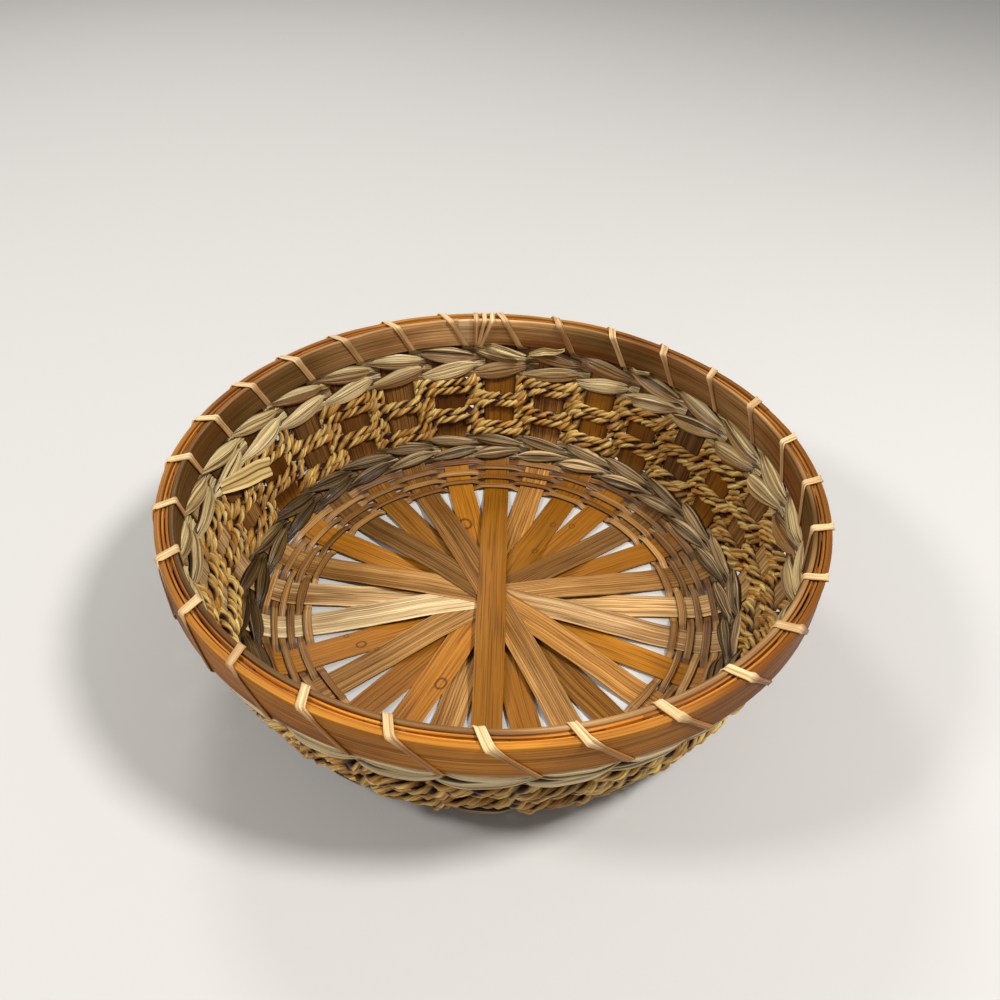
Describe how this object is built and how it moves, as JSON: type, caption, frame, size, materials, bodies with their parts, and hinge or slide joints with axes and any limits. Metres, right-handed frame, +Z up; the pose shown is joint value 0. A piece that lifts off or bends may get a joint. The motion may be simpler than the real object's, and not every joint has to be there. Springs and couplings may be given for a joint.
{
  "type": "catchall basket",
  "caption": "Round shallow basket of flat bamboo splints with twined leaf and twisted straw rope rows and a lashed hoop rim, open at the top, for keeping small things in.",
  "frame": {"origin": "under the middle of the base, on the surface the basket stands on", "axes": "+Z up out of the bowl; +Y along the top splint of the base, to the back where the lashing is tied; +X along the splint square to that one, to the right seen from the front"},
  "size_m": [0.2054, 0.2054, 0.0601],
  "materials": {
    "splint": "split bamboo, satin, orange brown to grey tan",
    "weaver": "narrow split bamboo, satin",
    "lower_leaf": "dried folded leaf, grey olive, dull",
    "rope": "twisted straw, golden, slight sheen",
    "upper_leaf": "dried folded leaf, pale tan, dull",
    "hoop": "flat bamboo, stained brown, satin",
    "packing": "thin bamboo strip on edge",
    "lashing": "pale cane strip, satin"
  },
  "bodies": {
    "root": {"splint_00": "splint", "splint_01": "splint", "splint_02": "splint", "splint_03": "splint", "splint_04": "splint", "splint_05": "splint", "splint_06": "splint", "splint_07": "splint", "splint_08": "splint", "splint_09": "splint", "splint_10": "splint", "splint_11": "splint", "splint_12": "splint", "splint_13": "splint", "base_weaver_1": "weaver", "base_weaver_2": "weaver", "base_weaver_3": "weaver", "base_weaver_4": "weaver", "base_weaver_5": "weaver", "base_weaver_6": "weaver", "lower_leaf_1_a": "lower_leaf", "lower_leaf_1_b": "lower_leaf", "lower_leaf_2_a": "lower_leaf", "lower_leaf_2_b": "lower_leaf", "rope_1_lower": "rope", "rope_1_upper": "rope", "rope_2_lower": "rope", "rope_2_upper": "rope", "rope_3_lower": "rope", "rope_3_upper": "rope", "rope_4_lower": "rope", "rope_4_upper": "rope", "upper_leaf_1_a": "upper_leaf", "upper_leaf_1_b": "upper_leaf", "upper_leaf_2_a": "upper_leaf", "upper_leaf_2_b": "upper_leaf", "leaf_tail_long": "upper_leaf", "leaf_tail_short": "upper_leaf", "rim_outer_hoop": "hoop", "rim_inner_hoop": "hoop", "rim_outer_packing": "packing", "rim_inner_packing": "packing", "rim_lashing": "lashing", "rim_lashing_tie": "lashing"}
  },
  "joints": []
}
